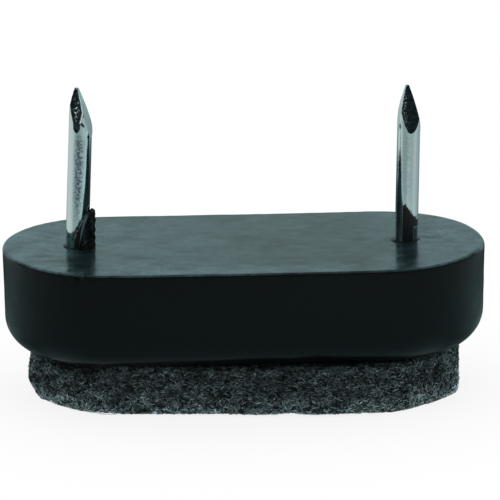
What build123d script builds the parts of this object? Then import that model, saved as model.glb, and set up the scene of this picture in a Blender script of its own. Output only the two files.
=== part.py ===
# Felt furniture glide: plastic block on a felt pad, with two steel nails that go up into a wooden leg

from pathlib import Path
from build123d import *

# The origin is the centre of the felt's underside. X runs along the glide and Z up. Sizes are in mm.

# Block: a slot-shaped plastic moulding, a little narrower at the bottom, with a round lower edge
block_length = 42.0
block_width = 19.0
block_thick = 9.0
wall_draft = 1.0  # degrees
lower_edge_round = 3.0
upper_edge_round = 0.25

# Felt: a pad glued under the block, set in from its ends and sides
felt_end_inset = 2.15
felt_side_inset = 1.4
felt_thick = 4.5
felt_lower_round = 1.6
felt_upper_round = 0.3

# Nails: round wire with a flat head, thicker where the die gripped it, and a four-sided point
wire_radius = 1.0
grip_extra = 0.17
head_radius = 2.3
head_thick = 0.85
point_length = 4.3
tip_width = 0.2

# Both nails: how far in from the block's ends they stand, and how far the pair is off centre
nail_inset = 6.65
pair_shift = -0.17

# Each nail: its side, its lean to the right in degrees, how far it stands out,
# how far its tip is off its axis, and how its point is turned in degrees
left_nail = dict(side=-1, lean=2.4, out=14.2, tip_off=-0.4, turn=-21.0)
right_nail = dict(side=1, lean=1.1, out=13.9, tip_off=-0.2, turn=9.5)

# Seats in the block: the shank is a press fit, the head goes in from below and ends under the surface
head_clearance = 0.05
head_sunk = 0.15

# Lip of plastic that each nail pushed up round its root
lip_height = 0.25
lip_spread = 0.25
lip_rim = 0.08

# Burr: a curl of plastic beside the left nail, its front edge cut on a slant
burr_height = 3.4
burr_wall = 0.58
burr_taper = 0.1
burr_start = -100.0  # degrees round the nail from the right-hand side
burr_sweep = 115.0
burr_front = 0.15
burr_top_shift = 0.65
burr_root = 0.5

block_bottom = felt_thick
block_top = block_bottom + block_thick
grip_radius = wire_radius + grip_extra
head_top = head_thick + head_sunk - block_thick
upward = (Align.CENTER, Align.CENTER, Align.MIN)
downward = (Align.CENTER, Align.CENTER, Align.MAX)


def nail_frame(nail):
    """Plane on the block's top where the nail leaves it, with its normal along the nail."""
    x = pair_shift + nail["side"] * (block_length / 2 - nail_inset)
    return Plane(Location((x, 0, block_top), (0, nail["lean"], 0)))


def gripped_wire():
    """Thicker wire inside the block, which narrows to the plain shank at the top of the lip."""
    body = Pos(0, 0, head_top) * Cylinder(grip_radius, -lip_height - head_top, align=upward)
    neck = Pos(0, 0, -lip_height) * Cone(grip_radius, wire_radius, 2 * lip_height, align=upward)
    return body + neck


def nail_seat():
    """Shank hole and head recess, cut from the block along the nail's axis."""
    recess = Cylinder(head_radius + head_clearance, block_thick, align=downward)
    return gripped_wire() + Pos(0, 0, head_top) * recess


def root_lip():
    """Low cone of plastic round the nail's root, with its foot sunk in the block."""
    rise = 2 * lip_height
    cone = Cone(grip_radius + 2 * lip_spread, wire_radius + lip_rim, rise, align=upward)
    return Pos(0, 0, lip_height - rise) * cone


def burr():
    """Thin curved wall that stands beside the shank, lower and narrower towards the front."""
    inner = wire_radius
    outer = wire_radius + burr_wall
    profile = Polyline(
        (inner, 0, -burr_root),
        (outer + burr_taper, 0, -burr_root),
        (outer, 0, burr_height),
        (inner, 0, burr_height),
        close=True,
    )
    wall = revolve(Rot(0, 0, burr_start) * make_face(profile), axis=Axis.Z, revolution_arc=burr_sweep)
    slant = Plane(origin=(burr_front, 0, 0), x_dir=(0, 1, 0), z_dir=(burr_height, 0, -burr_top_shift))
    return split(wall, bisect_by=slant, keep=Keep.TOP)


def make_block():
    """Slot-shaped slab with its two nail seats, root lips and burr."""
    outline = Pos(0, 0, block_top) * SlotOverall(block_length, block_width)
    slab = extrude(outline, amount=block_thick, dir=(0, 0, -1), taper=wall_draft)
    slab = fillet(slab.edges().group_by(Axis.Z)[0], lower_edge_round)
    slab = fillet(slab.edges().group_by(Axis.Z)[-1], upper_edge_round)
    for nail in (left_nail, right_nail):
        slab += nail_frame(nail) * root_lip()
    slab += nail_frame(left_nail) * burr()
    for nail in (left_nail, right_nail):
        slab -= nail_frame(nail) * nail_seat()
    return slab


def make_felt():
    """Slot-shaped felt pad with soft edges."""
    outline = SlotOverall(block_length - 2 * felt_end_inset, block_width - 2 * felt_side_inset)
    pad = extrude(outline, amount=felt_thick)
    pad = fillet(pad.edges().group_by(Axis.Z)[0], felt_lower_round)
    return fillet(pad.edges().group_by(Axis.Z)[-1], felt_upper_round)


def make_nail(nail):
    """Wire nail along Z, with four facets cut in its upper end, put in its place."""
    head = Pos(0, 0, head_top) * Cylinder(head_radius, head_thick, align=downward)
    shank = Pos(0, 0, head_top) * Cylinder(wire_radius, nail["out"] - head_top, align=upward)
    point_foot = nail["out"] - point_length
    foot = Rot(0, 0, nail["turn"]) * Rectangle(2 * wire_radius, 2 * wire_radius)
    tip = Rot(0, 0, nail["turn"]) * Rectangle(tip_width, tip_width)
    facets = loft([Pos(0, 0, point_foot) * foot, Pos(nail["tip_off"], 0, nail["out"]) * tip])
    blank = Pos(0, 0, point_foot) * Cylinder(2 * wire_radius, point_length, align=upward)
    return nail_frame(nail) * (head + gripped_wire() + (shank - (blank - facets)))


nodes = {
    "block": make_block(),
    "felt_pad": make_felt(),
    "left_nail": make_nail(left_nail),
    "right_nail": make_nail(right_nail),
}

folder = Path(__file__).parent / "parts"
folder.mkdir(exist_ok=True)
for name, shape in nodes.items():
    export_step(shape.solid() if len(shape.solids()) == 1 else shape, str(folder / f"{name}.step"))
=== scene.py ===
import math
import bmesh
import bpy
import numpy as np
from mathutils import Matrix


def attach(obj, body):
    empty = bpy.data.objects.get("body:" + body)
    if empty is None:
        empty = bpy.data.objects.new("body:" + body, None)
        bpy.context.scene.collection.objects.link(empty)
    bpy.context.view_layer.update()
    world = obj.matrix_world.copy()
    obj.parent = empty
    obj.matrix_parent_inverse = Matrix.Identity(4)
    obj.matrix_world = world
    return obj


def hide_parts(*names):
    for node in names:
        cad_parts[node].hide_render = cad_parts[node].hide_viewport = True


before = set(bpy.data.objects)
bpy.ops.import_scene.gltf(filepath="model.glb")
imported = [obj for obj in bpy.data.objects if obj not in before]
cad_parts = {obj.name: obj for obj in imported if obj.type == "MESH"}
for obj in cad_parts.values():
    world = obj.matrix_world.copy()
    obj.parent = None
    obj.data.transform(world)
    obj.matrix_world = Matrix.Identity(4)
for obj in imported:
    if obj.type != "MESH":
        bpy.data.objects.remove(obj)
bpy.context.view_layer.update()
MM = 0.001
scene = bpy.context.scene
scene.view_settings.view_transform = "Standard"


# Camera: a long lens far from the glide, a little to the left of square on and 16 degrees up.
# The aim is the middle of the block's top, moved so that the glide sits in the frame as photographed.
TOP_MIDDLE = np.array([0.0, 0.0, 13.5])  # mm
CAMERA_AZIMUTH = -2.81  # degrees round from -Y
CAMERA_HEIGHT = 16.23  # degrees above the floor
CAMERA_ROLL = -0.39  # degrees
CAMERA_DISTANCE = 441.0  # mm
FOCAL_PIXELS = 5065.0
FRAME_PIXELS = 500
TOP_MIDDLE_PIXEL = (243.3, 241.3)
SENSOR = 36.0  # mm
CLIP_NEAR, CLIP_FAR = 0.01, 20.0  # m

azimuth, height, roll = np.radians([CAMERA_AZIMUTH, CAMERA_HEIGHT, CAMERA_ROLL])
back = np.array([math.sin(azimuth) * math.cos(height), -math.cos(azimuth) * math.cos(height),
                 math.sin(height)])
flat = np.cross(-back, [0, 0, 1])
flat /= np.linalg.norm(flat)
upright = np.cross(flat, -back)
right = math.cos(roll) * flat + math.sin(roll) * upright
up = -math.sin(roll) * flat + math.cos(roll) * upright
frame_middle = (FRAME_PIXELS - 1) / 2
mm_per_pixel = CAMERA_DISTANCE / FOCAL_PIXELS
aim = (TOP_MIDDLE + right * (frame_middle - TOP_MIDDLE_PIXEL[0]) * mm_per_pixel
       - up * (frame_middle - TOP_MIDDLE_PIXEL[1]) * mm_per_pixel)

camera = bpy.data.cameras.new("camera")
camera.sensor_width = SENSOR
camera.lens = FOCAL_PIXELS * SENSOR / FRAME_PIXELS
camera.clip_start, camera.clip_end = CLIP_NEAR, CLIP_FAR
camera_object = bpy.data.objects.new("camera", camera)
scene.collection.objects.link(camera_object)
turn = np.eye(4)
turn[:3, 0], turn[:3, 1], turn[:3, 2] = right, up, back
turn[:3, 3] = (aim + back * CAMERA_DISTANCE) * MM
camera_object.matrix_world = Matrix(turn.tolist())
scene.camera = camera_object


# Floor and light: a sweep of white paper under a white cloth tent, so light comes evenly from all round.
# The paper is lit from beneath as well, until the camera sees it as almost pure white.
FLOOR_HALF = 1500.0  # mm
PAPER_GLOW, PAPER_GLOW_SEEN = 0.34, 0.81
COOL_WHITE = (0.68, 0.96, 1.0, 1.0)
SHARE, COLOUR_A, COLOUR_B, VALUE_A, VALUE_B = 0, 6, 7, 2, 3  # sockets of a mix, of which several share a name


def surface(name, points, faces, smooth=True, **values):
    """Mesh object from points in mm and faces, with a value or vector per point for each named attribute.

    Points that fall on each other, such as those of a grid's closed end, are merged into one.
    """
    mesh = bpy.data.meshes.new(name)
    mesh.from_pydata((np.asarray(points) * MM).tolist(), [], np.asarray(faces).tolist())
    for key, value in values.items():
        value = np.asarray(value, float)
        if value.ndim == 1:
            mesh.attributes.new(key, "FLOAT", "POINT").data.foreach_set("value", value)
        else:
            mesh.attributes.new(key, "FLOAT_VECTOR", "POINT").data.foreach_set("vector", value.ravel())
    work = bmesh.new()
    work.from_mesh(mesh)
    bmesh.ops.remove_doubles(work, verts=work.verts, dist=1e-7)
    work.to_mesh(mesh)
    work.free()
    if smooth:
        mesh.shade_smooth()
    piece = bpy.data.objects.new(name, mesh)
    scene.collection.objects.link(piece)
    return piece


def linear(code):
    """Linear RGBA of an sRGB hex colour."""
    values = np.array([int(code[i:i + 2], 16) for i in (0, 2, 4)]) / 255
    values = np.where(values <= 0.04045, values / 12.92, ((values + 0.055) / 1.055) ** 2.4)
    return (*values.tolist(), 1.0)


def add_node(tree, kind, inputs=(), **settings):
    """Add a node: its properties by name, then its inputs, each a value or an output to link from."""
    node = tree.nodes.new(kind)
    for key, value in settings.items():
        setattr(node, key, value)
    for key, value in dict(inputs).items():
        if isinstance(value, bpy.types.NodeSocket):
            tree.links.new(value, node.inputs[key])
        else:
            node.inputs[key].default_value = value
    return node


def new_material(name):
    """Empty material and its node tree."""
    material = bpy.data.materials.new(name)
    material.use_nodes = True
    material.node_tree.nodes.clear()
    return material, material.node_tree


floor_corners = [(x * FLOOR_HALF, y * FLOOR_HALF, 0) for x, y in ((-1, -1), (1, -1), (1, 1), (-1, 1))]
floor = surface("floor", floor_corners, [(0, 1, 2, 3)], smooth=False)

# White paper gives the eye a ground without edge or grain, which takes only a faint shadow.
paper, tree = new_material("white_paper")
ray = add_node(tree, "ShaderNodeLightPath")
lit = add_node(tree, "ShaderNodeBsdfDiffuse", {"Color": (0.2, 0.2, 0.2, 1.0)})
glow = add_node(tree, "ShaderNodeMapRange", {
    "Value": ray.outputs["Is Camera Ray"], "To Min": PAPER_GLOW, "To Max": PAPER_GLOW_SEEN})
through = add_node(tree, "ShaderNodeEmission", {"Color": (1, 1, 1, 1), "Strength": glow.outputs[0]})
shader = add_node(tree, "ShaderNodeAddShader", {0: lit.outputs[0], 1: through.outputs[0]})
add_node(tree, "ShaderNodeOutputMaterial", {"Surface": shader.outputs[0]})
floor.data.materials.append(paper)

# White cloth gives even light, and a cool sheen where steel or plastic mirrors it.
world = bpy.data.worlds.new("tent")
world.use_nodes = True
tree = world.node_tree
tree.nodes.clear()
ray = add_node(tree, "ShaderNodeLightPath")
cloth = add_node(tree, "ShaderNodeMix", {
    SHARE: ray.outputs["Is Glossy Ray"], COLOUR_A: (1, 1, 1, 1), COLOUR_B: COOL_WHITE}, data_type="RGBA")
sky = add_node(tree, "ShaderNodeBackground", {"Color": cloth.outputs[2], "Strength": 1.0})
add_node(tree, "ShaderNodeOutputWorld", {"Surface": sky.outputs[0]})
scene.world = world


# Dim room: a ring of grey board that lies round the glide and stands up at its outer edge. It is black where
# it stands in front and dark where it lies behind, so the block's front and top stay black, and it is pale
# where it stands behind. Its bands show down the nails, and nothing but a shiny surface sees it.
BLOCK_LENGTH, BLOCK_WIDTH = 42.0, 19.0  # mm, as all sizes from here on
ROOM_TURNS = 96
ROOM_REACH = np.array([0, 4, 12, 24, 32, 40, 48, 56, 66, 80, 120] + [260] * 4, float)  # from the block
ROOM_RISE = np.array([0.05] + [0.3] * 11 + [40.0, 120.0, 240.0])  # above the floor
STANDING_ROWS = 3
ROOM_TUCK, TUCK_SHADE = 2.2, 0.7  # the inner edge lies this far under the block, at this share of its light
FAR_FROM, FAR_TO = 32, 50
DARK_BEHIND, DARK_Y, DARK_LONG, DARK_WIDE = 0.88, 48, 50, 30
PALE_AHEAD, PALE_X, PALE_Y, PALE_LONG, PALE_WIDE = 0.4, 18, -68, 24, 30
STRIPS, STRIP_WIDE = [(-57, 0.22), (41, 0.16)], 7  # degrees and brightness of two paler strips that stand up
SHADE_TURN, SHADE_BLEND = 50, 25  # degrees from the front where the board near the block starts to dim
BOARD_RED, BOARD_RED_STANDING, BOARD_GREEN = 0.62, 0.69, 0.98  # against its blue, for a cool grey


def bell(value, middle, wide, power=2):
    """Bump with its top of 1 at the middle, gone by about twice its width, steeper with a higher power."""
    return np.exp(-((value - middle) / wide) ** power)


def grid_faces(rows, columns, around=False):
    """Quads of a grid stored row by row; around joins the last column to the first."""
    row = np.arange(rows - 1)[:, None]
    column = np.arange(columns if around else columns - 1)[None, :]
    after = (column + 1) % columns
    corners = (row * columns + column, row * columns + after,
               (row + 1) * columns + after, (row + 1) * columns + column)
    return np.stack(np.broadcast_arrays(*corners), axis=-1).reshape(-1, 4)


turn_round = np.linspace(-math.pi, math.pi, ROOM_TURNS, endpoint=False)  # 0 faces the camera
angle = turn_round - math.pi / 2 + azimuth
ring = np.stack([np.cos(angle), np.sin(angle)], -1)
half_straight = (BLOCK_LENGTH - BLOCK_WIDTH) / 2
middle = np.stack([half_straight * np.clip(ring[:, 0] * 4, -1, 1), np.zeros(ROOM_TURNS)], -1)
room = middle + (BLOCK_WIDTH / 2 + ROOM_REACH)[:, None, None] * ring
room[0] -= ROOM_TUCK * ring
room = np.concatenate([room, np.broadcast_to(ROOM_RISE[:, None, None], room.shape[:2] + (1,))], -1)

# Brightness by the turn in degrees, from behind over the left, the front and the right to behind again:
# of the board lying near the block, of the board lying farther out, and of the board standing up.
turned = np.degrees(turn_round)
near = np.interp(turned, [-180, -150, -85, -14, 14, 50, 90, 120, 150, 180],
                 [0.35, 0.37, 0.88, 0.75, 0.84, 0.92, 0.88, 0.56, 0.31, 0.35])
far = np.interp(turned, [-180, -150, -115, -70, -40, 0, 40, 70, 115, 150, 180],
                [0.5, 0.75, 0.92, 0.88, 0.52, 0.5, 0.62, 0.78, 0.55, 0.42, 0.5])
standing = np.interp(turned, [-180, -135, -115, -50, 0, 50, 115, 150, 180],
                     [1.09, 1.0, 0.1, 0.05, 0.03, 0.05, 0.1, 0.8, 1.09])
for strip_turn, strip_bright in STRIPS:
    standing += strip_bright * bell(turned, strip_turn, STRIP_WIDE)
outer = np.interp(ROOM_REACH, [FAR_FROM, FAR_TO], [0, 1])[:, None]
behind = DARK_BEHIND * bell(room[..., 0], 0, DARK_LONG, 6) * bell(room[..., 1], DARK_Y, DARK_WIDE, 4)
ahead = PALE_AHEAD * bell(room[..., 0], PALE_X, PALE_LONG) * bell(room[..., 1], PALE_Y, PALE_WIDE)
level = (near * (1 - outer) + far * outer) * (1 - behind + ahead)
level[0] *= TUCK_SHADE
sides = np.clip((np.abs(turned) - SHADE_TURN) / SHADE_BLEND, 0, 1)
level *= 1 - sides * (1 - np.interp(ROOM_REACH, [4, 14], [0.3, 1]))[:, None]
level[-STANDING_ROWS:] = standing
red = np.where(ROOM_RISE[:, None] > 1, BOARD_RED_STANDING, BOARD_RED + (0.38 * level - 0.02) * outer)
tone = level[..., None] * np.stack([red, np.full_like(level, BOARD_GREEN), np.ones_like(level)], -1)
card = surface("dim_room", room.reshape(-1, 3), grid_faces(*room.shape[:2], around=True), smooth=False,
               tone=tone.reshape(-1, 3))

# Grey board gives the eye nothing by itself, only soft dark and light bands in what mirrors it.
board, tree = new_material("grey_board")
shade = add_node(tree, "ShaderNodeAttribute", attribute_name="tone")
shader = add_node(tree, "ShaderNodeEmission", {"Color": shade.outputs["Vector"], "Strength": 1.0})
add_node(tree, "ShaderNodeOutputMaterial", {"Surface": shader.outputs[0]})
card.data.materials.append(board)
for kind in ("camera", "diffuse", "transmission", "volume_scatter", "shadow"):
    setattr(card, "visible_" + kind, False)


# Block: black polypropylene, moulded with a matt top, drafted walls and a wide round along the lower edge.
# The two nails were driven up through it and pushed a lip of plastic out round each root, and a burr at one.
BLOCK_THICK, BLOCK_BOTTOM = 9.0, 4.5
WALL_DRAFT = math.radians(1.0)
LOWER_ROUND, UPPER_ROUND = 3.0, 0.25
TOP_SAG = 0.144  # the middle of the top sank by this as the moulding cooled
TOP_ROWS, EDGE_ROWS, WALL_ROWS, FOOT_ROWS, UNDER_ROWS = 40, 9, 20, 28, 11
BLOCK_ARC_STEPS, BLOCK_STRAIGHT_STEPS = 150, 100
TOP_WAVES = [(0.012, 7.0, 3), (0.004, 1.6, 5)]  # each a height, a length in mm and a seed
EDGE_WAVES, EDGE_WAVES_REACH = [(0.01, 6.0, 4), (0.006, 1.5, 6)], 1.2


def slot_outline(length, width, arc_steps, straight_steps):
    """Centre points and outward normals round a slot, anticlockwise from the front of the right end.

    The outline at any inset is the centre point plus the half width less the inset times the normal.
    """
    half = (length - width) / 2
    arc = np.linspace(-90, 90, arc_steps, endpoint=False)
    straight = np.ones(straight_steps)
    angle = np.radians(np.concatenate([arc, 90 * straight, arc + 180, 270 * straight]))
    along = np.linspace(1, -1, straight_steps, endpoint=False)
    x = half * np.concatenate([np.ones(arc_steps), along, -np.ones(arc_steps), -along])
    centre = np.stack([x, np.zeros_like(x)], -1)
    return centre, np.stack([np.cos(angle), np.sin(angle)], -1)


def block_profile():
    """Inset and height from the middle of the top, over the edge, down the wall and under to the middle.

    Both rounds are arcs that meet the drafted wall without a corner, and the wall is straight between them.
    """
    lean, half = WALL_DRAFT, BLOCK_WIDTH / 2
    edge_inset = UPPER_ROUND * (1 + math.sin(lean)) / math.cos(lean)
    foot_inset = (LOWER_ROUND + (BLOCK_THICK - LOWER_ROUND) * math.sin(lean)) / math.cos(lean)
    edge = np.linspace(math.pi / 2, math.pi + lean, EDGE_ROWS)
    edge_x = edge_inset + UPPER_ROUND * np.cos(edge)
    edge_z = BLOCK_THICK - UPPER_ROUND + UPPER_ROUND * np.sin(edge)
    foot = np.linspace(math.pi + lean, 1.5 * math.pi, FOOT_ROWS)
    foot_x = foot_inset + LOWER_ROUND * np.cos(foot)
    foot_z = LOWER_ROUND + LOWER_ROUND * np.sin(foot)
    down = np.linspace(0, 1, WALL_ROWS + 2)[1:-1]
    inset = np.concatenate([
        half - (half - edge_inset) * np.linspace(0, 1, TOP_ROWS, endpoint=False) ** 0.8,
        edge_x,
        edge_x[-1] + (foot_x[0] - edge_x[-1]) * down,
        foot_x,
        np.linspace(foot_inset, half, UNDER_ROWS + 1)[1:]])
    z = np.concatenate([
        np.full(TOP_ROWS, BLOCK_THICK),
        edge_z,
        edge_z[-1] + (foot_z[0] - edge_z[-1]) * down,
        foot_z,
        np.zeros(UNDER_ROWS)])
    return inset, z


def ripple(points, size, seed, waves=48):
    """Smooth random height, about -1 to 1: many cosine waves of about one length in random directions."""
    rng = np.random.default_rng(seed)
    direction = rng.normal(size=(waves, points.shape[-1]))
    direction /= np.linalg.norm(direction, axis=1, keepdims=True)
    wave = direction * (2 * math.pi / size * rng.uniform(0.7, 1.4, (waves, 1)))
    return np.cos(points @ wave.T + rng.uniform(0, 2 * math.pi, waves)).sum(-1) / math.sqrt(waves)


def ripples(points, rows):
    """Several ripples added up, each given by its height, its length and its seed."""
    return sum(high * ripple(points, size, seed) for high, size, seed in rows)


centre, normal = slot_outline(BLOCK_LENGTH, BLOCK_WIDTH, BLOCK_ARC_STEPS, BLOCK_STRAIGHT_STEPS)
inset, z = block_profile()
shell = (BLOCK_WIDTH / 2 - inset)[:, None, None] * normal + centre
shell = np.concatenate([shell, np.broadcast_to(z[:, None, None], shell.shape[:2] + (1,))], -1)
x, y = shell[..., 0], shell[..., 1]
rim = np.clip(1 - inset / EDGE_WAVES_REACH, 0, 1)[:, None]
share = (shell[..., 2] / BLOCK_THICK) ** 2  # 1 at the top and nothing at the foot
shell[..., 2] -= TOP_SAG * share * (1 - (x / (BLOCK_LENGTH / 2)) ** 2)
shell[..., 2] += share * ripples(shell, TOP_WAVES)
shell[..., :2] += (rim * ripples(shell, EDGE_WAVES))[..., None] * normal

# The moulded edge is knocked: a nick in front of the left nail, small dents beside it, and a slack right end.
# The top is scuffed to the right of the right nail, where it is a hair lower.
NICK_X, NICK_WIDE, NICK_DEEP, NICK_TALL = -14.6, 0.17, 0.24, 0.4
DENTS_X, DENTS_LONG, DENT_SIZE, DENT_DEEP = -16.3, 1.6, 0.9, 0.05
SLACK_DEEP, SLACK_LONG = 0.22, 1.3
DENT_REACH, NICK_REACH = 0.5, 0.7  # how far in from the edge each goes
SCUFF_X, SCUFF_LONG, SCUFF_WIDE, SCUFF_DEEP = 16.3, 1.2, 0.5, 0.03
edge_rim = np.clip(1 - inset / DENT_REACH, 0, 1)[:, None] ** 2
front = normal[:, 1] < 0
below = np.clip(BLOCK_THICK - z, 0, None)[:, None]
nick = NICK_DEEP * bell(x, NICK_X, NICK_WIDE) * bell(below, 0, NICK_TALL) * front
dents = np.clip(ripple(shell[..., :1], DENT_SIZE, 8), 0, None) * bell(x, DENTS_X, DENTS_LONG)
dents = DENT_DEEP * dents * front
slack = SLACK_DEEP * bell(np.clip(BLOCK_LENGTH / 2 - x, 0, None), 0, SLACK_LONG)
knocked = bell(below, 0, DENT_REACH) * edge_rim * dents
knocked = knocked + nick * np.clip(1 - inset / NICK_REACH, 0, 1)[:, None]
shell[..., :2] -= knocked[..., None] * normal
shell[..., 2] -= edge_rim * share * (dents + 0.6 * nick + slack)
shell[..., 2] -= SCUFF_DEEP * bell(x, SCUFF_X, SCUFF_LONG) * bell(y, 0.4, SCUFF_WIDE) * share
shell[..., 2] += BLOCK_BOTTOM
shell_faces = grid_faces(*shell.shape[:2], around=True)[:, ::-1]

# Pale dusty haze on the top, and also painted sheen: it stands in for the grazing reflection, which is paler
# at both ends than in the middle, and it is drawn out along the block. It is thinner in front of both nails,
# thicker along the front edge and in a spot at the right end, and is a painted highlight beside the nick.
FILM_X = [-21, -17, -11, -5, 2, 9, 14, 18, 21]
FILM_THICK = [3.2, 2.3, 1.6, 1.3, 0.55, 0.45, 1.3, 2.2, 2.4]
FILM_LEAST, FILM_MOST, FILM_STRETCH = 0.3, 3.5, 0.6
FILM_WAVES, FILM_FINE_WAVES = [(0.32, 3.6, 41), (0.3, 1.6, 42)], [(0.15, 0.7, 43)]
FILM_EDGE, FILM_EDGE_Y, FILM_EDGE_WIDE = 1.2, -8.3, 1.2
FILM_RUBBED = [(-14.0, 1.7, 0.7), (14.2, 1.2, 0.5)]  # place, reach and the share by which it thins
FILM_END, FILM_END_X, FILM_END_LONG, FILM_END_Y, FILM_END_WIDE = 3.0, 20.4, 0.25, -1.3, 1.0
film = np.interp(x, FILM_X, FILM_THICK) + FILM_EDGE * bell(y, FILM_EDGE_Y, FILM_EDGE_WIDE)
film *= 1 + ripples(shell * [FILM_STRETCH, 1, 1], FILM_WAVES) + ripples(shell, FILM_FINE_WAVES)
for at, reach, gone in FILM_RUBBED:
    film *= 1 - gone * bell(x, at, reach) * np.clip(0.5 - y, 0, 1)
film += FILM_END * bell(x, FILM_END_X, FILM_END_LONG) * bell(y, FILM_END_Y, FILM_END_WIDE)
film = np.clip(film, FILM_LEAST, FILM_MOST) * share * (z > BLOCK_THICK - UPPER_ROUND / 2)[:, None]
# Painted highlight just right of the nick, on the front edge.
film += 1.2 * bell(x, NICK_X + 0.32, 0.12) * bell(below, 0.1, 0.16) * front * (inset < 0.5)[:, None]
scuff = 0.8 * bell(x, SCUFF_X, SCUFF_LONG) * bell(y, 0.2, SCUFF_WIDE)
scuff = (scuff + 0.5 * bell(x, 12.9, 0.35) * bell(y, 0.1, 0.45)) * share

# Lips and burr: plastic that each nail dragged up with it, rough and paler where it tore.
NAIL_INSET, PAIR_SHIFT = 6.65, -0.17
LEFT_LEAN, RIGHT_LEAN = 2.4, 1.1  # degrees
WIRE_RADIUS, LIP_HEIGHT = 1.0, 0.25
BURR_HEIGHT, BURR_WALL = 3.4, 0.62
BURR_FOOT, BURR_SHOULDER = -0.1, 0.93  # shares of its height where the wall starts and where it rounds over
BURR_ROWS, BURR_CROWN_ROWS = 40, 8
BURR_TURN = np.linspace(4, 112, 90)  # degrees from the front towards the right
BURR_CREST = slice(37, 52)  # the rows over its top, which get a painted highlight
INSIDE_WIRE = 0.97  # radius at which the burr closes, hidden in the wire


def along_nail(side, lean, local):
    """Points given round a nail's own axis, leaned to the right and moved to the nail's root."""
    lean = math.radians(lean)
    x = local[..., 0] * math.cos(lean) + local[..., 2] * math.sin(lean)
    z = local[..., 2] * math.cos(lean) - local[..., 0] * math.sin(lean)
    root = PAIR_SHIFT + side * (BLOCK_LENGTH / 2 - NAIL_INSET)
    drop = TOP_SAG * (1 - (root / (BLOCK_LENGTH / 2)) ** 2)
    return np.stack([x + root, local[..., 1], z + BLOCK_BOTTOM + BLOCK_THICK - drop], -1)


def lip(seed, wide):
    """Low ragged ring round a root: a closed section of radius by height, under, over and down the wire.

    Its width grows towards both ends of the block, and its height goes up and down with a smooth random wave.
    """
    radius = np.array([0.96, 1.16, 1.13, 1.09, 1.05, 1.01, 0.96, 0.96])[:, None]
    rise = np.array([-0.3, -0.3, 0.04, 0.14, 0.25, 0.3, 0.25, -0.3])[:, None]
    angle = np.linspace(0, 2 * math.pi, 96, endpoint=False)
    circle = np.stack([np.cos(angle), np.sin(angle)], -1)
    ragged = 1 + 0.3 * ripple(circle, 0.9, seed)
    r = 1 + (radius - 1) * (0.7 + 0.3 * ragged + wide * np.abs(np.cos(angle)) ** 3)
    z = rise * LIP_HEIGHT * np.where(rise > 0, ragged, 1.0)
    return np.stack([r * np.cos(angle), r * np.sin(angle), z], -1)


def burr():
    """Curl of plastic against the wire: a wall round part of it, as high as a slant allows, with a round top.

    Rows run up the outside, over the top and down the inside; columns run round from the front to the back.
    The wall is thin at both ends and thickest in the middle, and small waves crumble it.
    """
    angle = np.radians(BURR_TURN)
    slant = np.clip((1.3 * np.sin(angle) - 0.12) / 0.66, 0.01, 1)
    limit = BURR_HEIGHT * (1 - (1 - slant) ** 1.5) * np.clip((np.radians(114) - angle) / 0.25, 0, 1) ** 0.4
    ridge = ripple(angle[:, None] * 1.3, 0.32, 21)
    limit = limit * (1 + 0.02 * ridge)
    through = (angle - angle[0]) / (angle[-1] - angle[0])
    thick = BURR_WALL * np.clip(np.sin(through * math.pi), 0, 1) ** 0.35
    side = np.linspace(BURR_FOOT, BURR_SHOULDER, BURR_ROWS)
    crown = np.linspace(0, math.pi / 2, BURR_CROWN_ROWS)[1:]
    over = np.linspace(math.pi / 2, 0, BURR_CROWN_ROWS)[1:]
    round_top = 1 - BURR_SHOULDER
    up = np.concatenate([side, BURR_SHOULDER + round_top * np.sin(crown),
                         BURR_SHOULDER + round_top * np.sin(over), side[::-1][1:]])[:, None]
    share = np.concatenate([np.ones(BURR_ROWS), np.cos(crown) * 0.5 + 0.5, 0.5 * np.sin(over),
                            np.zeros(BURR_ROWS - 1)])[:, None]
    wall = thick * (1.12 - 0.2 * np.clip(up, 0, 1)) + 0.035 * ridge * np.clip(up, 0, 1)
    crumbled = 0.03 * ripple(np.stack(np.broadcast_arrays(angle, up * 3), -1), 0.5, 22)
    thickness = (np.maximum(wall, 0.03) + crumbled) * share
    thickness[:, [0, -1]] = 0
    radius = INSIDE_WIRE + thickness
    curl = np.stack([radius * np.sin(angle), -radius * np.cos(angle), up * limit], -1)
    return np.concatenate([curl, curl[:1]])


curl = along_nail(-1, LEFT_LEAN, burr())
thrown_up = [(along_nail(-1, LEFT_LEAN, lip(31, 0.5)), True),
             (along_nail(1, RIGHT_LEAN, lip(32, 1.3)), True),
             (curl, False)]
points, faces, torn = [shell.reshape(-1, 3)], [shell_faces], [scuff.ravel()]
for grid, closed in thrown_up:
    faces.append(grid_faces(*grid.shape[:2], around=closed) + sum(map(len, points)))
    points.append(grid.reshape(-1, 3))
    torn.append(np.ones(grid[..., 0].size))
points, torn = np.concatenate(points), np.concatenate(torn)
# Painted sheen and dusty haze per point: on the top, nothing on the lips, and a painted highlight on the
# burr.
bloom = np.zeros(len(points))
bloom[:film.size] = film.ravel()
burr_bloom = bloom[-curl[..., 0].size:].reshape(curl.shape[:2])
# Painted highlight over the burr's top, brightest towards its front end.
burr_bloom[BURR_CREST] = 6 * bell(BURR_TURN, 20, 12, 4)
block = surface("block_shell", points, np.concatenate(faces), film=bloom, torn=torn)
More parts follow.
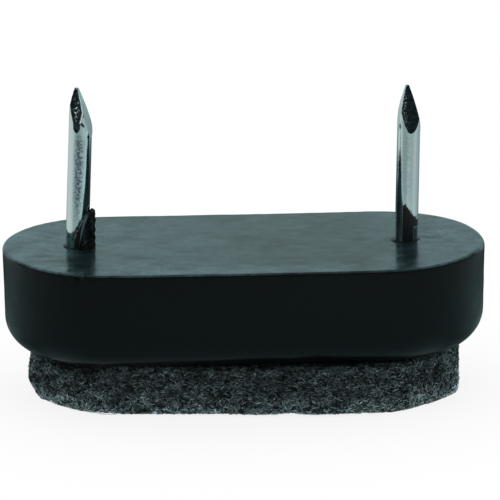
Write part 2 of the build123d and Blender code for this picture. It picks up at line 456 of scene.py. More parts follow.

# Moulded black polypropylene gives a deep black with a faint sheen that clouds from place to place, under a
# thin cool grey haze broken into specks. The haze is partly dusty and partly painted sheen, and it is a
# painted highlight on the burr. Torn plastic is rougher and shows pale shreds drawn up the nail.
CLOUD_SIZE, SPECK_SIZE, SHRED_SIZE, GRAIN_SIZE = 2.38, 0.526, 0.3125, 0.385
plastic, tree = new_material("moulded_black_polypropylene")
place = add_node(tree, "ShaderNodeTexCoord").outputs["Object"]
ripped = add_node(tree, "ShaderNodeAttribute", attribute_name="torn").outputs["Fac"]
bloomed = add_node(tree, "ShaderNodeAttribute", attribute_name="film").outputs["Fac"]
cloud = add_node(tree, "ShaderNodeTexNoise", {
    "Vector": place, "Scale": 1 / (CLOUD_SIZE * MM), "Detail": 4.0, "Roughness": 0.6})
rough = add_node(tree, "ShaderNodeMapRange", {
    "Value": cloud.outputs[0], "From Min": 0.3, "From Max": 0.7, "To Min": 0.13, "To Max": 0.3})
rough = add_node(tree, "ShaderNodeMix", {
    SHARE: ripped, VALUE_A: rough.outputs[0], VALUE_B: 0.42}, data_type="FLOAT")
speck = add_node(tree, "ShaderNodeTexNoise", {
    "Vector": place, "Scale": 1 / (SPECK_SIZE * MM), "Detail": 4.0, "Roughness": 0.7})
speck = add_node(tree, "ShaderNodeMapRange", {
    "Value": speck.outputs[0], "From Min": 0.35, "From Max": 0.65, "To Min": 0.6, "To Max": 1.4})
# Dusty haze and painted sheen: the share of cool grey that is mixed into the black.
dust = add_node(tree, "ShaderNodeMath", {0: bloomed, 1: speck.outputs[0]}, operation="MULTIPLY")
dust = add_node(tree, "ShaderNodeMath", {0: dust.outputs[0], 1: 0.25}, operation="MULTIPLY")
black = add_node(tree, "ShaderNodeMix", {
    SHARE: dust.outputs[0], COLOUR_A: linear("070A0B"), COLOUR_B: linear("3A5257")},
    data_type="RGBA", clamp_factor=False)
drawn_up = add_node(tree, "ShaderNodeMapping", {"Vector": place, "Scale": (1.0, 1.0, 0.25)})
shred = add_node(tree, "ShaderNodeTexNoise", {
    "Vector": drawn_up.outputs[0], "Scale": 1 / (SHRED_SIZE * MM), "Detail": 3.0, "Roughness": 0.6})
pale = add_node(tree, "ShaderNodeMapRange", {
    "Value": shred.outputs[0], "From Min": 0.5, "From Max": 0.72, "To Max": 0.6})
pale = add_node(tree, "ShaderNodeMath", {0: pale.outputs[0], 1: ripped}, operation="MULTIPLY")
black = add_node(tree, "ShaderNodeMix", {
    SHARE: pale.outputs[0], COLOUR_A: black.outputs[2], COLOUR_B: linear("30393C")}, data_type="RGBA")
grain = add_node(tree, "ShaderNodeTexNoise", {
    "Vector": place, "Scale": 1 / (GRAIN_SIZE * MM), "Detail": 3.0})
bump = add_node(tree, "ShaderNodeBump", {"Height": grain.outputs[0], "Strength": 0.14, "Distance": 0.05 * MM})
deep = add_node(tree, "ShaderNodeMath", {0: ripped, 1: 0.9}, operation="MULTIPLY")
bump = add_node(tree, "ShaderNodeBump", {
    "Height": shred.outputs[0], "Strength": deep.outputs[0], "Distance": 0.1 * MM, "Normal": bump.outputs[0]})
shader = add_node(tree, "ShaderNodeBsdfPrincipled", {
    "Base Color": black.outputs[2], "Roughness": rough.outputs[0], "IOR": 1.49, "Specular IOR Level": 0.085,
    "Normal": bump.outputs[0]})
add_node(tree, "ShaderNodeOutputMaterial", {"Surface": shader.outputs[0]})
block.data.materials.append(plastic)
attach(block, "root")
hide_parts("block")


# Nails: bright drawn steel wire, 2 mm thick, with a flat head under the felt and a four-sided point
# that was pinched and torn off in the nail machine, so its facets are rough and dark.
GRIP_EXTRA = 0.17
HEAD_RADIUS, HEAD_THICK, HEAD_SUNK, HEAD_ROUND = 2.3, 0.85, 0.15, 0.1
POINT_LENGTH, TIP_WIDTH, RIDGE_SHARP = 4.3, 0.26, 18
NAIL_COLUMNS, SHANK_ROWS, POINT_ROWS = 192, 90, 130
FRONT_FACET = 3
# The four facets go right, back, left and front, turned by turn. Directions are degrees, -90 to the front.
# tip_off: how far the tip lies to the right. ripped: the facets that tore. crumb: how rough they are.
# late: how far above the shank's end each facet starts. full: how it curves in, 1 for straight.
# scoop: depth of the hollow where the front facet starts. bulges: direction, height in the point, and swell.
# bright_ridge: the facet that meets the front one in the bright ridge. crest: the brightness of the
# highlight painted along that ridge, and its breaks.
# grit: how far from that ridge the painted glint specks lie, their width, where they start, their
# grain and their brightness.
# hook: 1 where a barb tore beside the front facet. soiled: direction, width, strength, lowest
# and highest of grey stains, and on the right nail a dark reflection painted down its left edge.
# smear: height of the plastic on the shank, its slant, and its left and right ends as shares of the radius.
NAILS = {
    "left_nail": dict(
        side=-1, lean=LEFT_LEAN, out=14.2, tip_off=-0.4, turn=-21.0, seed=54,
        ripped=[3, 2], crumb=0.022, late=(0, 0, 0, 0.5), full=(1.6, 1.2, 1.6, 1.5),
        scoop=0.05, bulges=[(-8, 0.7, 0.16)], hook=1,
        bright_ridge=0, crest=(1.0, 0.3), grit=(0.6, 0.35, 2.4, 0.3, 0.8),
        soiled=[(-93.0, 22.0, 1.4, 2.0, 10.5)],
        smear=(1.6, 2.4, -0.3, 2.0)),
    "right_nail": dict(
        side=1, lean=RIGHT_LEAN, out=13.9, tip_off=-0.2, turn=9.5, seed=55,
        ripped=[3, 1], crumb=0.015, late=(0, 0, 0, 0.15), full=(1.6, 1.1, 1.6, 1.0),
        scoop=0.0, bulges=[(-160, 1.2, 0.05), (-18, 1.0, 0.06)], hook=0,
        bright_ridge=2, crest=(0.3, 1.5), grit=(0.28, 0.14, 1.0, 0.13, 0.9),
        soiled=[(-98.0, 26.0, 0.35, 2.0, 10.2), (-150.0, 12.0, 1.4, -3.0, 8.2)],
        smear=(3.05, -1.1, -0.45, 0.55)),
}
BULGE_TALL, BULGE_WIDE = 0.55, 34  # mm, degrees
HOOK_RISE, HOOK_SLANT, HOOK_TALL, HOOK_WAY, HOOK_WIDE = 1.32, 0.9, 0.16, 0.62, 0.2
CREST_WIDE, CREST_START = 0.05, 0.85
WIRE_WAVE, FACET_WAVE, TEAR_DEEP = 0.0025, 0.006, 0.01
SMEAR_EDGE, SMEAR_WAVES = 0.03, [(0.16, 0.5, 59), (0.07, 0.2, 60)]
WIDER_FROM, WIDER_REACH = 1.3, 0.93  # a smear reaches farther right above this height


def turned_from(angle, way):
    """Turn in radians from a direction in degrees to each angle, at most half a turn either way."""
    return (angle - np.radians(way) + math.pi) % (2 * math.pi) - math.pi


def nail_stations(nail):
    """Height and radius of each ring: up through the head, the gripped length, the shank and the point."""
    head_top = HEAD_THICK + HEAD_SUNK - BLOCK_THICK
    head_low = head_top - HEAD_THICK
    grip = WIRE_RADIUS + GRIP_EXTRA
    foot = nail["out"] - POINT_LENGTH
    head = [(head_low, 0), (head_low, 1.2), (head_low, HEAD_RADIUS - HEAD_ROUND),
            (head_low + HEAD_ROUND, HEAD_RADIUS), (head_top - HEAD_ROUND, HEAD_RADIUS),
            (head_top, HEAD_RADIUS - HEAD_ROUND), (head_top, grip),
            (-2 * LIP_HEIGHT, grip), (-LIP_HEIGHT, WIRE_RADIUS)]
    head_heights, head_radii = zip(*head)
    shank = np.linspace(-LIP_HEIGHT, foot, SHANK_ROWS)[1:]
    point = np.linspace(foot, nail["out"], POINT_ROWS)[1:]
    heights = np.concatenate([head_heights, shank, point, [nail["out"]]])
    radii = np.concatenate([head_radii, np.full(len(shank) + len(point), WIRE_RADIUS), [0]])
    return heights, radii, foot


def nail_surface(nail):
    """Rings up the nail: each is the smaller of the round wire and, in the point, a tapering square.

    The square adds up how far each of four flat facets cuts in, raised to a high power, which leaves its
    ridges a little round. Up the point its half side shrinks to half the tip's width, and the ring's centre
    moves towards the tip. Four values a point say how torn the steel is, how much grey stain and painted dark
    reflection, how much painted highlight and how much smeared plastic it carries.
    """
    heights, radii, foot = nail_stations(nail)
    above = (heights - foot)[:, None]
    solid = radii[:, None] > 0
    angle = np.linspace(0, 2 * math.pi, NAIL_COLUMNS, endpoint=False)
    part = np.clip((heights - foot) / POINT_LENGTH, 0, 1)[:, None]
    shift = nail["tip_off"] * part
    side = shift * np.cos(angle)
    drawn = np.stack([np.cos(angle), np.sin(angle)], -1)
    circle = np.sqrt(np.clip(radii[:, None] ** 2 - shift ** 2 + side ** 2, 0, None)) - side
    circle = np.where(solid, circle, 0)
    circle = circle - WIRE_WAVE * ripple(drawn, 0.35, nail["seed"] + 9) * solid

    square = np.zeros(part.shape[:1] + angle.shape)
    halves = []
    nearest = np.full(square.shape, -1.0)
    facet = np.zeros(square.shape, int)
    for number, (way, late, full) in enumerate(zip((0, 90, 180, 270), nail["late"], nail["full"])):
        facing = np.cos(angle - np.radians(nail["turn"] + way))
        cut = np.clip((heights - foot - late) / (POINT_LENGTH - late), 0, 1)[:, None] ** full
        half = WIRE_RADIUS + (TIP_WIDTH / 2 - WIRE_RADIUS) * cut
        hollow = nail["scoop"] * bell(heights - foot - late, 0.35, 0.35)[:, None]
        half = half - (number == FRONT_FACET) * hollow
        pull = np.clip(facing, 0, 1) / half
        halves.append(half)
        square += pull ** RIDGE_SHARP
        facet = np.where(pull > nearest, number, facet)
        nearest = np.maximum(nearest, pull)
    square = np.where(part > 0, square ** (-1 / RIDGE_SHARP), 9.0)
    shape = np.minimum(square, 1.5)
    tall = np.broadcast_to(heights[:, None], shape.shape)
    wall = np.stack([shape * np.cos(angle), shape * np.sin(angle), tall], -1)
    ripped = np.isin(facet, nail["ripped"]) * (square < circle) * np.clip(part * 8 - 0.4, 0, 1)
    crumbs = ripple(wall, 0.5, nail["seed"]) + 0.5 * ripple(wall, 0.24, 52)
    square = square - ripped * (TEAR_DEEP + nail["crumb"] * crumbs)
    square = square - (1 - ripped) * FACET_WAVE * ripple(wall, 0.9, 53)
    bulge = sum(deep * bell(part * POINT_LENGTH, at, BULGE_TALL)
                * bell(np.degrees(turned_from(angle, way)), 0, BULGE_WIDE)
                for way, at, deep in nail["bulges"]) * solid
    radius = np.minimum(circle + bulge, square)
    pinched = square < circle + bulge
    ring = np.stack([radius * np.cos(angle) + shift, radius * np.sin(angle), tall], -1)

    ripped = np.isin(facet, nail["ripped"]) * pinched * (part > 0.02)
    across = turned_from(angle, nail["turn"] + 270) * (1 - nail["bright_ridge"])
    hook = (above - HOOK_RISE + HOOK_SLANT * (across - 0.55)) / HOOK_TALL
    ripped = np.maximum(ripped, nail["hook"] * (hook ** 2 + ((across - HOOK_WAY) / HOOK_WIDE) ** 2 < 1))

    # A white highlight is painted along the ridge between the front facet and its bright neighbour, with
    # breaks.
    facing_half, beside_half = halves[FRONT_FACET], halves[nail["bright_ridge"]]
    border = np.minimum(np.arccos(np.clip(facing_half, 0, 1)), np.arctan2(beside_half, facing_half))
    bright, breaks = nail["crest"]
    crest = bright * bell(across, border, CREST_WIDE) * (above > nail["late"][FRONT_FACET] + CREST_START)
    crest = crest * np.clip(1 + breaks * ripple(wall, 0.3, 56), 0, 1)
    # Glint specks painted on the front facet beside the ridge, where the torn steel glitters.
    grit_off, grit_wide, grit_start, grit_size, grit_bright = nail["grit"]
    grit = ripple(wall * [1, 1, 0.7], grit_size, 57) + 0.6 * ripple(wall, 0.13, 58)
    grit = np.clip(2 * grit - 1.9, 0, 1) * bell(border - across, grit_off, grit_wide) * grit_bright
    crest = np.maximum(crest, grit * (facet == FRONT_FACET) * np.clip(part * 8 - grit_start, 0, 1) * pinched)

    # Grey stains, and on the right nail a band painted dark for the dark reflection down its left edge.
    grime = np.zeros(wall.shape[:2])
    for way, wide, deep, low, high in nail["soiled"]:
        length = np.clip((heights - low) / 3, 0, 1) * np.clip(high - heights, 0, 1)
        grime += deep * bell(np.degrees(turned_from(angle, way)), 0, wide) * length[:, None]

    smear_height, smear_slant, smear_left, smear_right = nail["smear"]
    edge = smear_height + smear_slant * np.cos(angle) + ripples(wall, SMEAR_WAVES)
    reach = np.maximum(smear_right, WIDER_REACH * (heights > WIDER_FROM))[:, None]
    smear = np.clip((edge - heights[:, None]) / SMEAR_EDGE, 0, 1) * (np.cos(angle) > smear_left)
    smear *= (np.cos(angle) < reach) * (np.sin(angle) < 0)
    return along_nail(nail["side"], nail["lean"], ring), ripped * (1 - crest), grime, crest, smear


# Bright drawn steel wire gives clear mirrored bands down the shank, broken by fine drawing lines. Torn facets
# are dull and nearly black, with a white highlight and glint specks painted along the ridge. Stains are grey,
# a dark reflection is painted down the right nail's left edge, and smeared plastic is matt black.
DRAWING_LINE_SIZE, BLOT_SIZE, FLECK_SIZE = 0.238, 0.667, 0.192
steel, tree = new_material("bright_drawn_steel_wire")
place = add_node(tree, "ShaderNodeTexCoord").outputs["Object"]
stretch = add_node(tree, "ShaderNodeMapping", {"Vector": place, "Scale": (1.0, 1.0, 0.12)})
lines = add_node(tree, "ShaderNodeTexNoise", {
    "Vector": stretch.outputs[0], "Scale": 1 / (DRAWING_LINE_SIZE * MM), "Detail": 3.0})
blot = add_node(tree, "ShaderNodeTexNoise", {
    "Vector": place, "Scale": 1 / (BLOT_SIZE * MM), "Detail": 4.0, "Roughness": 0.7})
ripped = add_node(tree, "ShaderNodeAttribute", attribute_name="ripped").outputs["Fac"]
grime = add_node(tree, "ShaderNodeAttribute", attribute_name="grime").outputs["Fac"]
rough = add_node(tree, "ShaderNodeMapRange", {
    "Value": blot.outputs[0], "From Min": 0.3, "From Max": 0.7, "To Min": 0.04, "To Max": 0.1})
rough = add_node(tree, "ShaderNodeMix", {
    SHARE: ripped, VALUE_A: rough.outputs[0], VALUE_B: 0.38}, data_type="FLOAT")
fleck = add_node(tree, "ShaderNodeTexNoise", {
    "Vector": place, "Scale": 1 / (FLECK_SIZE * MM), "Detail": 3.0, "Roughness": 0.6})
patch = add_node(tree, "ShaderNodeMapRange", {
    "Value": fleck.outputs[0], "From Min": 0.4, "From Max": 0.6, "To Min": 0.1, "To Max": 1.0})
# Stains in grey, and the dark reflection painted down the right nail's left edge.
stain = add_node(tree, "ShaderNodeMath", {0: grime, 1: patch.outputs[0]}, operation="MULTIPLY")
metal = add_node(tree, "ShaderNodeMix", {
    SHARE: stain.outputs[0], COLOUR_A: linear("BDCBCA"), COLOUR_B: linear("5E6870")}, data_type="RGBA")
metal = add_node(tree, "ShaderNodeMix", {
    SHARE: ripped, COLOUR_A: metal.outputs[2], COLOUR_B: linear("313A3D")}, data_type="RGBA")
# Painted highlight: where the ridge and its glint specks are marked, the steel turns near-white and not
# metal.
crest = add_node(tree, "ShaderNodeAttribute", attribute_name="crest").outputs["Fac"]
metal = add_node(tree, "ShaderNodeMix", {
    SHARE: crest, COLOUR_A: metal.outputs[2], COLOUR_B: linear("EEF2F2")}, data_type="RGBA")
smear = add_node(tree, "ShaderNodeAttribute", attribute_name="smear").outputs["Fac"]
metal = add_node(tree, "ShaderNodeMix", {
    SHARE: smear, COLOUR_A: metal.outputs[2], COLOUR_B: linear("0A0D0E")}, data_type="RGBA")
plain = add_node(tree, "ShaderNodeMath", {0: crest, 1: smear}, operation="MAXIMUM")
rough = add_node(tree, "ShaderNodeMix", {
    SHARE: plain.outputs[0], VALUE_A: rough.outputs[0], VALUE_B: 0.5}, data_type="FLOAT")
bare = add_node(tree, "ShaderNodeMath", {0: 1.0, 1: plain.outputs[0]}, operation="SUBTRACT")
bump = add_node(tree, "ShaderNodeBump", {"Height": lines.outputs[0], "Strength": 0.2, "Distance": 0.03 * MM})
shader = add_node(tree, "ShaderNodeBsdfPrincipled", {
    "Base Color": metal.outputs[2], "Metallic": bare.outputs[0], "Roughness": rough.outputs[0],
    "Normal": bump.outputs[0]})
add_node(tree, "ShaderNodeOutputMaterial", {"Surface": shader.outputs[0]})
SHARP_RIDGE = 30  # degrees between two faces, from which their ridge is drawn sharp
for name, nail in NAILS.items():
    rings, ripped, grime, crest, smear = nail_surface(nail)
    piece = surface(name + "_wire", rings.reshape(-1, 3), grid_faces(*rings.shape[:2], around=True),
                    ripped=ripped.ravel(), grime=grime.ravel(), crest=crest.ravel(), smear=smear.ravel())
    piece.data.set_sharp_from_angle(angle=math.radians(SHARP_RIDGE))
    piece.data.materials.append(steel)
    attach(piece, "root")
    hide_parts(name)


# Felt pad: grey wool felt, cut by hand from a thick sheet and glued under the block.
# Its fibres are matted in flat layers, dark and light mixed, and they show as short streaks.
FELT_END_INSET, FELT_SIDE_INSET, FELT_THICK = 2.15, 1.4, 4.5
FELT_UPPER_ROUND, FELT_LOWER_ROUND, FELT_ROUND_FALL, ROUND_FALLS_FROM = 0.4, 1.35, 1.15, 6.0
CHAMFER_WIDE, CHAMFER_TALL, CHAMFER_X, CHAMFER_BLEND = 0.87, 1.6, -14.0, 3.0
SOLE_RISE, SOLE_PALE = 0.04, 0.45
LEFT_END_OUT, RIGHT_END_OUT, LEAN_IN = 0.09, -0.14, 0.4
FELT_ARC_STEPS, FELT_STRAIGHT_STEPS = 200, 170
FELT_TOP_ROWS, FELT_EDGE_ROWS, FELT_WALL_ROWS, FELT_FOOT_ROWS, FELT_SOLE_ROWS = 11, 8, 30, 16, 23
felt_length, felt_width = BLOCK_LENGTH - 2 * FELT_END_INSET, BLOCK_WIDTH - 2 * FELT_SIDE_INSET

# Painted light and shade by height: the lower edge is painted pale, lit from the floor, and the wool is
# painted darkest a little below its top, shaded under the block.
WORN_HEIGHT = [0.0, 0.5, 1.2, 1.9, 2.6, 3.4, 3.9, FELT_THICK]
WORN_PALE = [3.2, 2.3, 1.2, 0.75, 0.6, 0.42, 0.7, 0.95]
WORN_WAVES = [(0.3, 3.4, 17), (0.38, 1.7, 15), (0.25, 0.8, 16)]
SHADED_X, SHADED_LONG, SHADED_FROM, SHADED_SHARE = -15.2, 2.6, 3.5, 0.88
BACK_WAVES, BACK_OUT = [(0.12, 9.0, 14)], 0.05
FLUFF_WAVES, FLUFF_FINE_WAVES, FLUFF_REACH, SIDE_REACH = [(0.03, 1.4, 11)], [(0.03, 0.5, 12)], 2.0, 4.0

# Where the scissors went: how far the front of the sole lies from the middle line, at places along the pad.
CUT_X = [-17.75, -17.44, -17.04, -16.55, -15.87, -15.06, -14.36, -13.26, -12.2, -11.12, -9.36, -5.9, -2.45,
         -0.5, 2.2, 3.6, 4.8, 6.16, 9.64, 13.03, 14.86, 16.62, 17.14, 17.57, 17.75]
CUT_REACH = [7.45, 6.8, 6.42, 6.23, 6.04, 5.98, 5.8, 5.05, 5.25, 5.57, 5.7, 6.1, 6.25,
             6.75, 6.95, 6.55, 7.1, 7.4, 7.15, 7.12, 6.75, 7.06, 7.4, 7.75, 7.85]
CUT_OUT = 7.0  # the places along the pad are those of points this far from its middle line


def felt_profile(lower, cut):
    """Inset and height from the middle of the top, down the side and under to the middle, a column per place.

    The lower edge is a round of the given size, blended by the share cut into a straight chamfer.
    """
    half = felt_width / 2
    rim = np.linspace(math.pi / 2, math.pi, FELT_EDGE_ROWS)[:, None]
    foot = np.linspace(math.pi, 1.5 * math.pi, FELT_FOOT_ROWS)[:, None]
    slant = np.linspace(0, 1, FELT_FOOT_ROWS)[:, None]
    down = np.linspace(0, 1, FELT_WALL_ROWS + 2)[1:-1, None]
    rounded = lower * (1 - cut)
    wide, tall = rounded + CHAMFER_WIDE * cut, rounded + CHAMFER_TALL * cut
    same = np.ones_like(lower)
    inset = np.concatenate([
        np.linspace(half, FELT_UPPER_ROUND, FELT_TOP_ROWS, endpoint=False)[:, None] * same,
        FELT_UPPER_ROUND * (1 + np.cos(rim)) * same,
        0 * down * same,
        rounded * (1 + np.cos(foot)) + CHAMFER_WIDE * cut * slant,
        wide + (half - wide) * np.linspace(0, 1, FELT_SOLE_ROWS + 1)[1:, None]])
    z = np.concatenate([
        FELT_THICK * np.ones((FELT_TOP_ROWS, 1)) * same,
        (FELT_THICK - FELT_UPPER_ROUND * (1 - np.sin(rim))) * same,
        FELT_THICK - FELT_UPPER_ROUND + (tall - FELT_THICK + FELT_UPPER_ROUND) * down,
        rounded * (1 + np.sin(foot)) + CHAMFER_TALL * cut * (1 - slant),
        np.zeros((FELT_SOLE_ROWS, 1)) * same])
    return inset, np.maximum(z, SOLE_RISE)


centre, normal = slot_outline(felt_length, felt_width, FELT_ARC_STEPS, FELT_STRAIGHT_STEPS)
outline = centre + felt_width / 2 * normal
to_end = (outline[:, 0] - ROUND_FALLS_FROM) / (felt_length / 2 - ROUND_FALLS_FROM)
lower = FELT_LOWER_ROUND - FELT_ROUND_FALL * np.clip(to_end, 0, 1)
chamfer = np.clip((CHAMFER_X - outline[:, 0]) / CHAMFER_BLEND, 0, 1)
inset, z = felt_profile(lower, chamfer)
foot_wide = lower * (1 - chamfer) + CHAMFER_WIDE * chamfer
cut_out = np.interp((centre + CUT_OUT * normal)[:, 0], CUT_X, CUT_REACH) - (felt_width / 2 - foot_wide)
cut_out = np.where(normal[:, 1] < 0, cut_out, ripples(outline, BACK_WAVES) + BACK_OUT)
ends = np.where(outline[:, 0] < 0, LEFT_END_OUT, RIGHT_END_OUT)
cut_out = ends + (cut_out - ends) * np.clip(np.abs(normal[:, 1]) * 4, 0, 1)
pad = np.concatenate([(felt_width / 2 - inset)[..., None] * normal + centre, z[..., None]], -1)
out = np.concatenate([np.broadcast_to(normal, pad.shape[:2] + (2,)), np.zeros(pad.shape[:2] + (1,))], -1)
side = np.clip(1 - inset / SIDE_REACH, 0, 1)[..., None]
pad += out * side * cut_out[:, None]
lean_in = LEAN_IN * (z / FELT_THICK) ** 2 * np.clip(-normal[:, 0], 0, 1) ** 2 * (outline[:, 0] < 0)
pad -= out * side * lean_in[..., None]
fluff = np.clip(1 - inset / FLUFF_REACH, 0, 1)[..., None]
pad += out * fluff * (ripples(pad, FLUFF_WAVES) + ripples(pad * [1, 1, 1.4], FLUFF_FINE_WAVES))[..., None]


def wear_at(points):
    """Mottled tone of the wool with painted light and shade: pale along the lower edge and dark under the
    block by height, paler towards both ends, and painted shade under the block's left end.
    """
    x, z = points[..., 0], points[..., 2]
    tall = points * [1, 1, 1.5]
    pale = np.interp(z, WORN_HEIGHT, WORN_PALE)
    pale = pale * (0.92 + 0.4 * (x / 19) ** 2 + 0.7 * np.clip((np.abs(x) - 16.8) / 1.8, 0, 1))
    shaded = SHADED_SHARE * bell(x, SHADED_X, SHADED_LONG, 4) * np.clip((z - SHADED_FROM) / 0.25, 0, 1)
    return pale * np.clip(1 + ripples(tall, WORN_WAVES), 0.1, 3) * (1 - shaded)


# Mottled tone with painted light and shade, darker on the sole.
worn = wear_at(pad) * np.where(z > SOLE_RISE, 1, SOLE_PALE)
pad_faces = grid_faces(*pad.shape[:2], around=True)[:, ::-1]
felt = surface("felt_body", pad.reshape(-1, 3), pad_faces, worn=worn.ravel())

# Pressed grey wool felt gives a dead matt, uneven grey, lumpy from matted tufts half a millimetre across.
TUFT_SIZE, TUFT_DEEP = 0.5, 0.2
wool, tree = new_material("pressed_grey_wool_felt")
place = add_node(tree, "ShaderNodeTexCoord").outputs["Object"]
# The wool's tone is scaled by its mottle and by painted light and shade: pale along the lower edge, dark
# under the block.
wear = add_node(tree, "ShaderNodeAttribute", attribute_name="worn").outputs["Fac"]
blot = add_node(tree, "ShaderNodeTexNoise", {
    "Vector": place, "Scale": 1 / (TUFT_SIZE * MM), "Detail": 5.0, "Roughness": 0.7, "Distortion": 1.5})
tone = add_node(tree, "ShaderNodeMapRange", {"Value": blot.outputs[0], "From Min": 0.45, "From Max": 0.68})
tone = add_node(tree, "ShaderNodeMath", {0: tone.outputs[0], 1: wear}, operation="MULTIPLY")
shade = add_node(tree, "ShaderNodeMix", {
    SHARE: tone.outputs[0], COLOUR_A: linear("060809"), COLOUR_B: linear("56676A")},
    data_type="RGBA", clamp_factor=False)
bump = add_node(tree, "ShaderNodeBump", {
    "Height": blot.outputs[0], "Strength": 0.9, "Distance": TUFT_DEEP * MM})
shader = add_node(tree, "ShaderNodeBsdfPrincipled", {
    "Base Color": shade.outputs[2], "Roughness": 0.95, "Normal": bump.outputs[0], "Specular IOR Level": 0.1})
add_node(tree, "ShaderNodeOutputMaterial", {"Surface": shader.outputs[0]})
felt.data.materials.append(wool)
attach(felt, "root")
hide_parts("felt_pad")


# Fibres: loose wool that stands off the cut sides of the felt and lies over its sole.
# Real wool is 0.02 to 0.04 mm thick, so each strand here stands for a few fibres that cling together.
SIDE_COUNT, SIDE_LONG, SIDE_THICK, SIDE_HEADING, SIDE_LIFT = 16000, (0.15, 0.7), (0.05, 0.12), 0.75, 0.03
SOLE_COUNT, SOLE_LONG, SOLE_THICK, SOLE_HEADING = 4200, (1.0, 3.0), (0.04, 0.08), 2.0
STATIONS, STRAND_BEND, STRAND_CLEAR = 4, 0.25, 0.01
STRAND_PALE, STRAND_SHARES = [0.05, 0.3, 0.6, 1.0], [0.25, 0.42, 0.25, 0.08]
SWELL = np.array([0, 1, 1, 0])[:, None]  # a strand is thin at both ends and full between them
TRIAD = (0, 2 * math.pi / 3, -2 * math.pi / 3)


def walk(rng, count, length, heading, first, second):
    """Four stations of each fibre in two coordinates, each fibre with its own step, heading and bend."""
    step = rng.uniform(*length, count) / (STATIONS - 1)
    turn = rng.normal(0, heading, count) + math.pi * rng.integers(0, 2, count)
    bend = rng.normal(0, STRAND_BEND, count)
    a, b = [rng.uniform(*first, count)], [rng.uniform(*second, count)]
    for k in range(STATIONS - 1):
        a.append(a[-1] + step * np.cos(turn + k * bend))
        b.append(b[-1] + step * np.sin(turn + k * bend))
    return np.stack(a), np.stack(b)


def strands(rng, core, off, thick, lift):
    """Fibres along lines of four stations, arched a little outwards, as closed spindles of three sides."""
    count = core.shape[1]
    core = core + off * (STRAND_CLEAR + rng.uniform(0, lift, count) * SWELL)[..., None]
    ahead = np.gradient(core, axis=0)
    ahead /= np.linalg.norm(ahead, axis=-1, keepdims=True) + 1e-9
    beside = np.cross(ahead, off)
    radius = rng.uniform(*thick, count) / 2 * SWELL
    tube = np.stack([core + radius[..., None] * (math.cos(a) * off + math.sin(a) * beside) for a in TRIAD])
    points = tube.transpose(2, 1, 0, 3).reshape(count, 3 * STATIONS, 3)
    points = np.concatenate([points[:, :1], points[:, 3:9], points[:, 9:10]], axis=1)
    faces = [(0, 2, 1), (0, 3, 2), (0, 1, 3), (7, 4, 5), (7, 5, 6), (7, 6, 4)]
    for a in range(3):
        b = (a + 1) % 3
        faces += [(1 + a, 1 + b, 4 + b), (1 + a, 4 + b, 4 + a)]
    corners = points.shape[1]
    faces = (np.arange(count)[:, None, None] * corners + np.array(faces)).reshape(-1, 3)
    pale = rng.choice(STRAND_PALE, count, p=STRAND_SHARES) * rng.uniform(0.7, 1.2, count)
    middle = core[1]
    # Each fibre takes the pad's mottle and its painted light and shade at its middle, softened.
    wear = wear_at(middle) ** 0.7 * np.where(middle[:, 2] > SOLE_RISE, 1, SOLE_PALE)
    return points.reshape(-1, 3), faces, np.repeat(pale, corners), np.repeat(wear, corners)


# Side fibres walk along the outline and down the profile, from the upper edge to a little way under the sole.
run = np.concatenate([[0], np.cumsum(np.hypot(np.diff(inset[:, 0]), np.diff(z[:, 0])))])
way = np.concatenate([outline, outline[:1]])
way = np.concatenate([[0], np.cumsum(np.hypot(*np.diff(way, axis=0).T))])
low, high = felt_width / 2 + 0.2, run[-1] - felt_width / 2 + 1.5


def spot(c, t):
    """Point of the pad at a length round the outline and one down the profile, between its grid points."""
    column, row = np.interp(c % way[-1], way, np.arange(len(way))), np.interp(t, run, np.arange(len(run)))
    i, j = np.minimum(row.astype(int), len(run) - 2), column.astype(int) % len(outline)
    u, v = (row - i)[..., None], (column - column.astype(int))[..., None]
    k = (j + 1) % len(outline)
    upper = pad[i, j] * (1 - u) * (1 - v) + pad[i + 1, j] * u * (1 - v)
    return upper + pad[i, k] * (1 - u) * v + pad[i + 1, k] * u * v


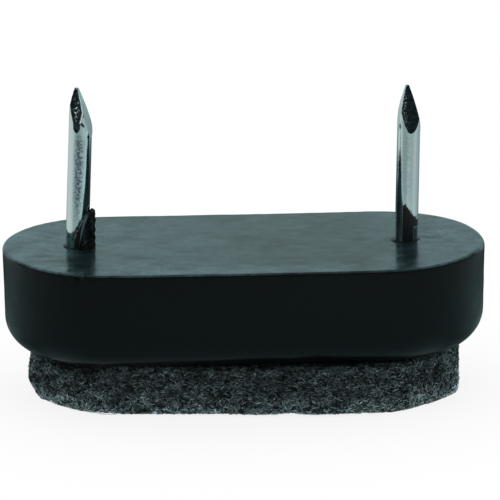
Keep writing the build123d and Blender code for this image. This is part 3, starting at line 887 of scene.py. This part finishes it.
rng = np.random.default_rng(61)
c, t = walk(rng, SIDE_COUNT, SIDE_LONG, SIDE_HEADING, (0, way[-1]), (low, high))
t = np.clip(t, low, high)
core = spot(c, t)
off = np.cross(spot(c, t + 0.05) - core, spot(c + 0.05, t) - core)
off /= np.linalg.norm(off, axis=-1, keepdims=True) + 1e-9
core[..., 2] = np.maximum(core[..., 2], 1.5 * SOLE_RISE)
fibres = {"felt_side_fibres": strands(rng, core, off, SIDE_THICK, SIDE_LIFT)}

# Sole fibres lie flat in every direction over the underside.
rng = np.random.default_rng(62)
x, y = walk(rng, SOLE_COUNT, SOLE_LONG, SOLE_HEADING,
            (-felt_length / 2, felt_length / 2), (-felt_width / 2, felt_width / 2))
half = (felt_length - felt_width) / 2
kept = (np.hypot(x - np.clip(x, -half, half), y) < felt_width / 2 - CHAMFER_TALL).all(0)
core = np.stack([x, y, np.full_like(x, SOLE_RISE)], -1)[:, kept]
down = np.broadcast_to([0.0, 0.0, -1.0], core.shape)
fibres["felt_sole_fibres"] = strands(rng, core, down, SOLE_THICK, 0.0)

# Grey wool fibres give short fine streaks, a few of them pale, with a faint sheen along each.
hair, tree = new_material("grey_wool_fibres")
# Fibres are toned by the pad's painted light and shade as well as by their own paleness.
wear = add_node(tree, "ShaderNodeAttribute", attribute_name="worn").outputs["Fac"]
pale = add_node(tree, "ShaderNodeAttribute", attribute_name="pale").outputs["Fac"]
tone = add_node(tree, "ShaderNodeMath", {0: pale, 1: wear}, operation="MULTIPLY")
shade = add_node(tree, "ShaderNodeMix", {
    SHARE: tone.outputs[0], COLOUR_A: linear("080B0C"), COLOUR_B: linear("8FA6A9")},
    data_type="RGBA", clamp_factor=False)
shader = add_node(tree, "ShaderNodeBsdfPrincipled", {
    "Base Color": shade.outputs[2], "Roughness": 0.7, "Specular IOR Level": 0.2})
add_node(tree, "ShaderNodeOutputMaterial", {"Surface": shader.outputs[0]})
for name, (points, faces, pale, wear) in fibres.items():
    piece = surface(name, points, faces, pale=pale, worn=wear)
    piece.data.materials.append(hair)
    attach(piece, "root")
